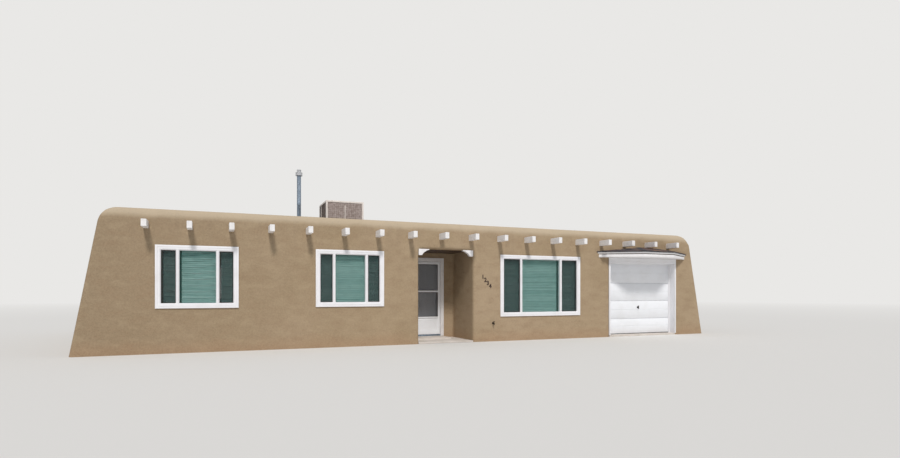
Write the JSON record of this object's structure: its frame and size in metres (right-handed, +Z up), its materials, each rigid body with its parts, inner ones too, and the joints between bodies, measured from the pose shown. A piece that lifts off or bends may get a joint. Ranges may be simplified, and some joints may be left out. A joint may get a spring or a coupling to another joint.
{
  "type": "adobe house",
  "caption": "Single-storey stuccoed adobe house: flat roof behind a rounded parapet, projecting beams, leaning ends, recessed entry, garage bay under a hipped canopy.",
  "frame": {"origin": "on the ground, under the middle of the house's plan", "axes": "+X along the front, to the right as one faces the house; +Y from the front into the house; +Z up"},
  "size_m": [16.93, 9.229, 4.862],
  "materials": {
    "concrete": "trowelled concrete",
    "stucco": "sand-finished stucco on adobe",
    "glass": "clear sheet glass",
    "vinyl": "smooth",
    "blind": "smooth",
    "roofing": "mineral roofing",
    "shingle": "granule-faced shingles",
    "dark_metal": "satin",
    "brass": "dull",
    "cooler_steel": "weathered paint",
    "cooler_pad": "fibre pad",
    "zinc": "galvanised",
    "painted_wood": "painted",
    "stained_wood": "brown stain",
    "white_door": "satin paint",
    "white_timber": "painted"
  },
  "bodies": {
    "house": {"floor_slab": "concrete", "garage_slab": "concrete", "porch_slab": "concrete", "front_wall_west": "stucco", "front_wall_mid": "stucco", "front_wall_east": "stucco", "entry_lintel": "stucco", "garage_lintel": "stucco", "end_wall_west": "stucco", "end_wall_east": "stucco", "back_wall": "stucco", "recess_wall_west": "stucco", "recess_wall_east": "stucco", "recess_lintel": "stucco", "porch_ceiling": "stained_wood", "roof_beams_west": "white_timber", "roof_beams_east": "white_timber", "roof_deck": "roofing", "parapet_front": "stucco", "parapet_back": "stucco", "parapet_ends": "stucco", "window_frame_west": "vinyl", "window_frame_centre": "vinyl", "window_frame_east": "vinyl", "back_window_frames": "vinyl", "front_glass": "glass", "back_glass": "glass", "window_blinds": "blind", "entry_casing": "white_timber", "entry_corbels": "white_timber", "garage_casing": "white_timber", "garage_door": "white_door", "garage_door_handle": "dark_metal", "canopy_roof": "shingle", "canopy_fascia": "white_timber", "air_cooler": "cooler_steel", "cooler_pads": "cooler_pad", "flue_pipe": "zinc", "flue_cap": "zinc", "hose_bib": "brass"},
    "outer_door": {"outer_door": "white_door", "outer_door_panes": "glass", "outer_door_handle": "dark_metal"},
    "inner_door": {"inner_door": "painted_wood", "inner_door_knob": "brass"}
  },
  "joints": [
    {"name": "outer_door_hinge", "type": "hinge", "parent": "house", "child": "outer_door", "pos_m": [0.073, -2.904, 1.138], "axis": [0, 0, 1], "range_deg": [0, 90]},
    {"name": "inner_door_hinge", "type": "hinge", "parent": "house", "child": "inner_door", "pos_m": [0.073, -2.728, 1.138], "axis": [0, 0, -1], "range_deg": [0, 90]}
  ]
}
